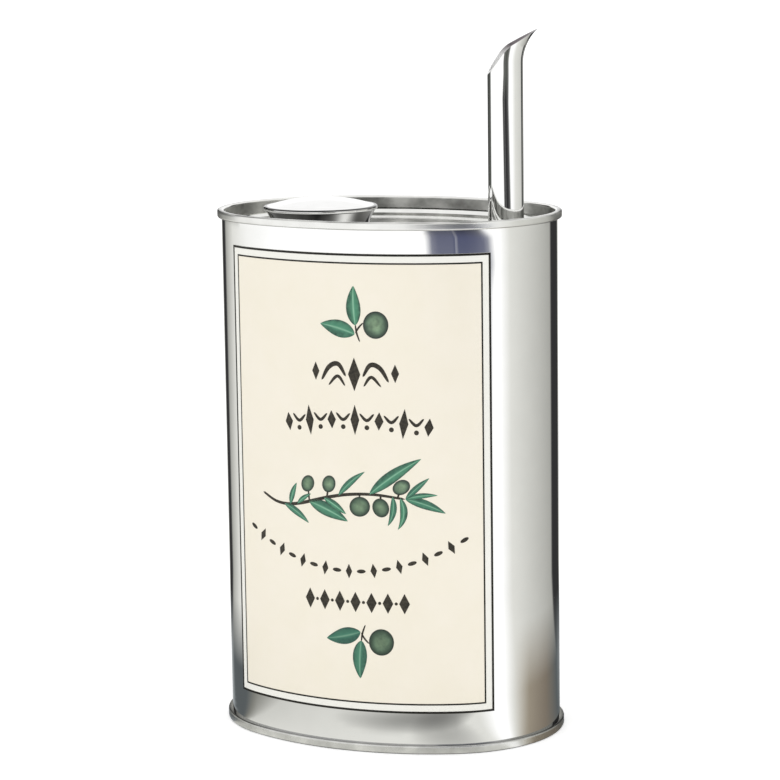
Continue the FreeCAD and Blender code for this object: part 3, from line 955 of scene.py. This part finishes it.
def steel(name, shade, roughness, mottle, ripple=0.0, deep=None, satin=0.0, metal=1.0):
    """Polished steel: a tone and a gloss that wander by the mottle's scale, over ripples of the sheet.

    deep gives two tones of painted shade for the points that the mesh marks with "along", and satin how much
    rougher it is where the mesh marks "across".
    """
    nodes = Nodes(name)
    nodes.shade("Metallic", metal)
    base = nodes.ramp(nodes.noise(mottle, 4.0), ((0.3, shade[0]), (0.7, shade[1])))
    # The deep tones are painted shade, laid where the mesh marks "along".
    if deep:
        cloud = nodes.noise(85.0, 4.0, stretch=(1, 1, 1.6))
        base = nodes.mix(nodes.mark("along"), base, nodes.ramp(cloud, ((0.36, deep[0]), (0.66, deep[1]))))
    nodes.shade("Base Color", base)
    rough = nodes.span(nodes.noise(mottle * 0.7, 5.0), *roughness)
    if satin:
        rough = nodes.maths("ADD", rough, nodes.maths("MULTIPLY", nodes.mark("across"), satin))
    nodes.shade("Roughness", rough)
    if ripple:
        nodes.bump(nodes.noise(90.0, 2.0, stretch=(1, 1, 0.35)), ripple)
    return nodes.material


def paper(name, shade, warm):
    """Coated paper: a faint cloud in its colour and a soft gloss."""
    nodes = Nodes(name)
    nodes.shade("Base Color", nodes.ramp(nodes.noise(120.0, 5.0), ((0.3, shade), (0.7, warm))))
    nodes.shade("Roughness", nodes.span(nodes.noise(700.0, 4.0), 0.28, 0.36))
    nodes.bump(nodes.noise(2500.0, 3.0), 0.000004)
    return nodes.material


def ink(name, shade, pale):
    """Printed line ink, a little uneven."""
    nodes = Nodes(name)
    nodes.shade("Base Color", nodes.ramp(nodes.noise(1500.0, 4.0), ((0.35, shade), (0.75, pale))))
    nodes.shade("Roughness", 0.38)
    nodes.shade("Specular IOR Level", 0.2)
    return nodes.material


def leaf_ink():
    """Leaf print: pale rib, green blade, one half deeper, dark rim, brushed, deeper by its tint."""
    nodes = Nodes("leaf_ink")
    across = nodes.mark("across")
    side = nodes.maths("ABSOLUTE", across)
    blade_shade = nodes.ramp(side, ((0.0, colour(165, 215, 182)), (0.1, colour(118, 184, 148)),
                                    (0.2, colour(66, 140, 108)), (0.65, colour(50, 118, 88)),
                                    (0.9, colour(14, 36, 28))))
    deep = nodes.span(across, 0.0, 0.7, -0.1, 0.5)
    shade = nodes.mix(deep, blade_shade, colour(14, 66, 50))
    brush = nodes.span(nodes.noise(900.0, 4.0), 0.0, 0.45)
    shade = nodes.mix(brush, shade, colour(95, 165, 128))
    shade = nodes.mix(nodes.span(nodes.mark("tint"), 0.0, 0.5, 0.3, 0.95), shade, colour(10, 78, 70))
    nodes.shade("Base Color", shade)
    nodes.shade("Roughness", 0.36)
    return nodes.material


def olive_ink():
    """Olive print: grey green in its middle, near black at its edge, blotched."""
    nodes = Nodes("olive_ink")
    reach = nodes.maths("POWER", nodes.mark("along"), 2.0)
    reach = nodes.maths("ADD", reach, nodes.maths("POWER", nodes.mark("across"), 2.0))
    body = nodes.ramp(reach, ((0.0, colour(150, 182, 142)), (0.3, colour(118, 150, 118)),
                              (0.65, colour(66, 92, 72)), (0.92, colour(14, 26, 20))))
    blotch = nodes.span(nodes.noise(520.0, 4.0), 0.0, 0.7)
    shade = nodes.mix(blotch, body, colour(36, 58, 46))
    shade = nodes.mix(nodes.span(nodes.mark("tint"), 0.0, 0.45, 0.4, 0.9), shade, colour(20, 52, 28))
    nodes.shade("Base Color", shade)
    nodes.shade("Roughness", 0.36)
    return nodes.material


# ---------------------------------------------------------------- studio

RING_RADIUS = 200.0
DARK_CARD_RADIUS = 196.0

# Display tones of the cards. The softbox is a little over white, to make up for the steel's own tone.
SOFTBOX = (263, 263, 263)
PALE = (225, 225, 220)
SILVER = (205, 205, 200)
GREY = (168, 168, 163)
WARM = (152, 143, 128)
BROWN = (124, 115, 103)
DUSK = (126, 126, 120)
SLATE = (88, 93, 95)
MIST = (165, 170, 172)
ASH = (84, 86, 82)
INDIGO = (84, 88, 114)
VIOLET = (98, 102, 122)
BLACK = (50, 50, 51)

# Each table is a gradient: (bearing from the camera's side in degrees, tone).
RING = (
    (-180, SILVER), (-157, SILVER), (-151, BLACK), (-141, BLACK), (-136, GREY), (-118, PALE),
    (-76, SOFTBOX), (54, SOFTBOX), (64, PALE), (121, GREY), (125, BLACK), (148, BLACK),
    (153, SILVER), (180, SILVER),
)
RING_HIGH = (
    (-180, SOFTBOX), (-162, SOFTBOX), (-157, BLACK), (-130, ASH), (-109, ASH), (-103, SOFTBOX),
    (46, SOFTBOX), (64, PALE), (110, SILVER), (115, BLACK), (127, BLACK), (130, GREY), (137, GREY),
    (141, BLACK), (152, BLACK), (158, SOFTBOX), (180, SOFTBOX),
)


def linear(shade):
    """A display tone as linear light."""
    return np.array([srgb(value) for value in shade])


def tone(table, bearing):
    """Linear colour at a bearing, from a table of (bearing, display tone)."""
    stops, shades = zip(*table)
    return linear([np.interp(bearing, stops, channel) for channel in zip(*shades)])


def glow(name):
    """A plain card: it glows with the colour that its mesh carries."""
    nodes = Nodes(name)
    nodes.tree.nodes.remove(nodes.shader)
    source = nodes.add("ShaderNodeAttribute", attribute_name="glow")
    light = nodes.add("ShaderNodeEmission", {"Color": source.outputs["Color"]})
    nodes.feed(nodes.tree.nodes["Material Output"].inputs["Surface"], light.outputs["Emission"])
    return nodes.material


def make_card(name, rows, shades, material):
    """A studio card from a grid of points, seen only in reflections."""
    height, width = len(rows), len(rows[0])
    points = [tuple(c * MM for c in point) for row in rows for point in row]
    faces = [(i * width + k, i * width + k + 1, (i + 1) * width + k + 1, (i + 1) * width + k)
             for i in range(height - 1) for k in range(width - 1)]
    mesh = bpy.data.meshes.new(name)
    mesh.from_pydata(points, [], faces)
    layer = mesh.attributes.new("glow", "FLOAT_COLOR", "POINT")
    flat = [(*shade, 1.0) for row in shades for shade in row]
    layer.data.foreach_set("color", np.array(flat, np.float32).ravel())
    mesh.materials.append(material)
    card = new_object(name, mesh)
    for sight in ("camera", "diffuse", "transmission", "volume_scatter", "shadow"):
        setattr(card, "visible_%s" % sight, False)


def around(bearing, radius, z):
    """A point round the can, at a bearing from the camera's side."""
    angle = math.radians(CAMERA_AZIMUTH + bearing)
    return (radius * math.cos(angle), radius * math.sin(angle), z)


# Each row of the ring: its height, and the table of its tones.
RING_ROWS = ((-5.0, RING), (60.0, RING), (112.0, RING), (118.0, RING_HIGH), (205.0, RING_HIGH))


def make_ring(material):
    """A ring of cards round the can, light and dark by their bearing."""
    bearings = np.linspace(-180, 180, 361)
    rows, shades = [], []
    for z, table in RING_ROWS:
        rows.append([around(b, RING_RADIUS, z) for b in bearings])
        shades.append([tone(table, b) for b in bearings])
    make_card("card_ring", rows, shades, material)


# Each row of the dark card: height, bearings of its left and right edge, tone.
DARK_CARD = (
    (25.0, 0.0, 46.0, SOFTBOX),
    (60.0, 0.0, 46.0, VIOLET),
    (95.0, -1.0, 47.0, VIOLET),
    (104.0, -1.5, 50.0, VIOLET),
    (112.0, -2.0, 48.0, INDIGO),
    (115.0, -4.0, 38.0, BLACK),
    (150.0, -11.0, 28.0, BLACK),
    (158.0, -4.0, 30.0, ASH),
    (205.0, 0.0, 30.0, ASH),
)
# Across it: the part of its width, and how far its tone goes over to the softbox's. A thin light gap
# lies about a third of the way across.
DARK_CARD_LIFTS = (
    (0.0, 1.0), (0.06, 0.12), (0.12, 0.04), (0.26, 0.04), (0.295, 0.0), (0.31, 0.16), (0.325, 0.16),
    (0.36, 0.0), (0.5, 0.0), (0.65, 0.02), (0.8, 0.06), (0.88, 0.2), (1.0, 1.0),
)


def make_dark_card(material):
    """The dark side of the studio, where the camera stands, with soft edges."""
    light = linear(SOFTBOX)
    rows, shades = [], []
    for z, left, right, shade in DARK_CARD:
        dark = linear(shade)
        width = right - left
        rows.append([around(left + width * part, DARK_CARD_RADIUS, z) for part, _ in DARK_CARD_LIFTS])
        shades.append([dark + (light - dark) * lift for _, lift in DARK_CARD_LIFTS])
    make_card("card_dark", rows, shades, material)


# The mat's tones, by the bearing of a place on it as seen from a pivot at each end of the can.
MAT_RIGHT = ((16, PALE), (38, SOFTBOX), (57, SOFTBOX), (68, PALE), (92, WARM), (120, BROWN), (145, SLATE),
             (168, MIST))
MAT_LEFT = ((-165, MIST), (-153, SLATE), (-112, SLATE), (-90, DUSK), (-66, GREY), (-48, SILVER), (44, PALE))
PIVOT_RIGHT = (36.0, -15.0)
PIVOT_LEFT = (-37.0, -20.0)
# The mat lies from its inner radius out to just past the ring, and goes over to the ring's tones between
# the start of the blend and the mat's own radius.
MAT_INNER = 15.0
MAT_RADIUS = 165.0
MAT_END = 202.0
MAT_HEIGHT = 0.15
BLEND_START = 90.0
# Painted shadows on the mat before the can: place, reach along X and Y, and how much light each takes away.
SHADOW_POOLS = (
    ((38.0, -60.0), (57.0, 15.0), 0.66),
    ((33.0, -43.0), (15.0, 22.0), 0.42),
)


def bearing_from(pivot, x, y, lowest):
    """The bearing of a floor point as seen from a pivot, in the full turn that starts at the lowest."""
    angle = math.degrees(math.atan2(y - pivot[1], x - pivot[0])) - CAMERA_AZIMUTH
    return (angle - lowest) % 360 + lowest


def mat_tone(x, y):
    """The floor mat's colour at a point, with its painted shadows, before it goes over to the ring's."""
    left = bearing_from(PIVOT_LEFT, x, y, -180.0)
    if left <= MAT_LEFT[-1][0]:
        shade = tone(MAT_LEFT, left)
    else:
        shade = tone(MAT_RIGHT, bearing_from(PIVOT_RIGHT, x, y, -90.0))
    # The pools darken the mat as painted shadows before the can.
    for centre, reach, depth in SHADOW_POOLS:
        off_x = (x - centre[0]) / reach[0]
        off_y = (y - centre[1]) / reach[1]
        shade = shade * (1.0 - depth * max(0.0, 1.0 - off_x ** 2 - off_y ** 2))
    return shade


def make_mat(material):
    """A mat round the can's foot, seen only in the steel."""
    rows, shades = [], []
    bearings = np.linspace(-180, 180, 241)
    for radius in (*np.linspace(MAT_INNER, MAT_RADIUS, 40), MAT_END):
        row = [around(b, radius, MAT_HEIGHT) for b in bearings]
        rows.append(row)
        far = np.interp(radius, [BLEND_START, MAT_RADIUS], [0, 1])
        shades.append([mat_tone(x, y) * (1 - far) + tone(RING, b) * far
                       for b, (x, y, _) in zip(bearings, row)])
    make_card("card_mat", rows, shades, material)


# How much the floor glows for the camera alone.
FLOOR_GLOW = 0.3


def make_floor():
    """A plain pale floor that keeps the can's shadow, lifted to white for the camera."""
    nodes = Nodes("floor")
    nodes.shade("Base Color", nodes.ramp(nodes.noise(3.0, 2.0), ((0.3, colour(243, 243, 243)),
                                                                 (0.7, colour(246, 246, 246)))))
    nodes.shade("Roughness", 0.9)
    nodes.shade("Emission Color", (1, 1, 1, 1))
    seen = nodes.add("ShaderNodeLightPath").outputs["Is Camera Ray"]
    nodes.shade("Emission Strength", nodes.maths("MULTIPLY", seen, FLOOR_GLOW))
    mesh = bpy.data.meshes.new("floor")
    reach = 6.0
    corners = [(-reach, -reach, 0), (reach, -reach, 0), (reach, reach, 0), (-reach, reach, 0)]
    mesh.from_pydata(corners, [], [(0, 1, 2, 3)])
    mesh.materials.append(nodes.material)
    new_object("floor", mesh)


def make_world():
    """Even white light from all sides."""
    world = bpy.data.worlds.new("studio")
    world.use_nodes = True
    back = world.node_tree.nodes["Background"]
    back.inputs["Color"].default_value = (1, 1, 1, 1)
    back.inputs["Strength"].default_value = 1.0
    bpy.context.scene.world = world


def make_camera():
    """The camera, aimed at the can and rolled a little."""
    data = bpy.data.cameras.new("camera")
    data.sensor_width = CAMERA_SENSOR
    data.lens = CAMERA_LENS
    data.clip_start = 0.01
    data.clip_end = 50.0
    camera = new_object("camera", data)
    place = Vector(CAMERA_PLACE)
    look = (Vector(CAMERA_AIM) - place).to_track_quat("-Z", "Y")
    camera.location = place
    camera.rotation_mode = "QUATERNION"
    camera.rotation_quaternion = look @ Quaternion((0, 0, 1), math.radians(CAMERA_ROLL))
    bpy.context.scene.camera = camera


# ---------------------------------------------------------------- all together

WALL_STEEL = steel("wall_steel", (colour(250, 250, 249), colour(253, 253, 252)), (0.035, 0.07), 160.0,
                   ripple=0.00001)
# The rims' deep tones are painted shade on their seams, liner and groove.
END_STEEL = steel("end_steel", (colour(230, 230, 227), colour(242, 242, 239)), (0.05, 0.13), 220.0,
                  deep=(colour(120, 120, 117), colour(225, 225, 221)), satin=0.2)
# The base rim's steel is a darker copy of the end steel, as painted shade at the can's foot, with darker
# painted shade on its seam.
BASE_STEEL = steel("base_steel", (colour(202, 202, 199), colour(234, 234, 231)), (0.1, 0.2), 220.0,
                   deep=(colour(50, 50, 49), colour(100, 100, 98)), satin=0.12)
# The cap's deep tones are painted shade under its brim and on its plug.
CAP_STEEL = steel("cap_steel", (colour(247, 247, 246), colour(252, 252, 251)), (0.04, 0.09), 300.0,
                  deep=(colour(36, 36, 36), colour(92, 92, 90)))
SPOUT_STEEL = steel("spout_steel", (colour(249, 249, 248), colour(253, 253, 252)), (0.02, 0.05), 250.0)
# The bore's deep tones are a painted mauve shade near the mouth.
BORE_STEEL = steel("bore_steel", (colour(248, 248, 247), colour(253, 253, 252)), (0.3, 0.4), 250.0,
                   deep=(colour(96, 88, 92), colour(140, 132, 136)), metal=0.0)
make_wall(WALL_STEEL)
make_end("top_rim", "top_end", END_STEEL, TOP_END)
make_end("base_rim", "base_end", BASE_STEEL, BASE_END)
make_cap(CAP_STEEL)
make_spout(SPOUT_STEEL, BORE_STEEL)

MARGIN = paper("label_margin", colour(247, 246, 238), colour(249, 248, 241))
FIELD = paper("label_field", colour(248, 241, 223), colour(250, 243, 227))
INK = ink("line_ink", colour(44, 41, 35), colour(74, 69, 58))
BORDER_INK = ink("border_ink", colour(20, 19, 16), colour(46, 43, 36))
make_sheet(MARGIN, FIELD)
make_borders(BORDER_INK)
make_ornaments(INK)
make_sprigs(leaf_ink(), olive_ink(), INK)

CARD = glow("card")
make_ring(CARD)
make_dark_card(CARD)
make_mat(CARD)
make_floor()
make_world()
make_camera()
bpy.context.scene.view_settings.view_transform = "Standard"

bpy.context.view_layer.update()
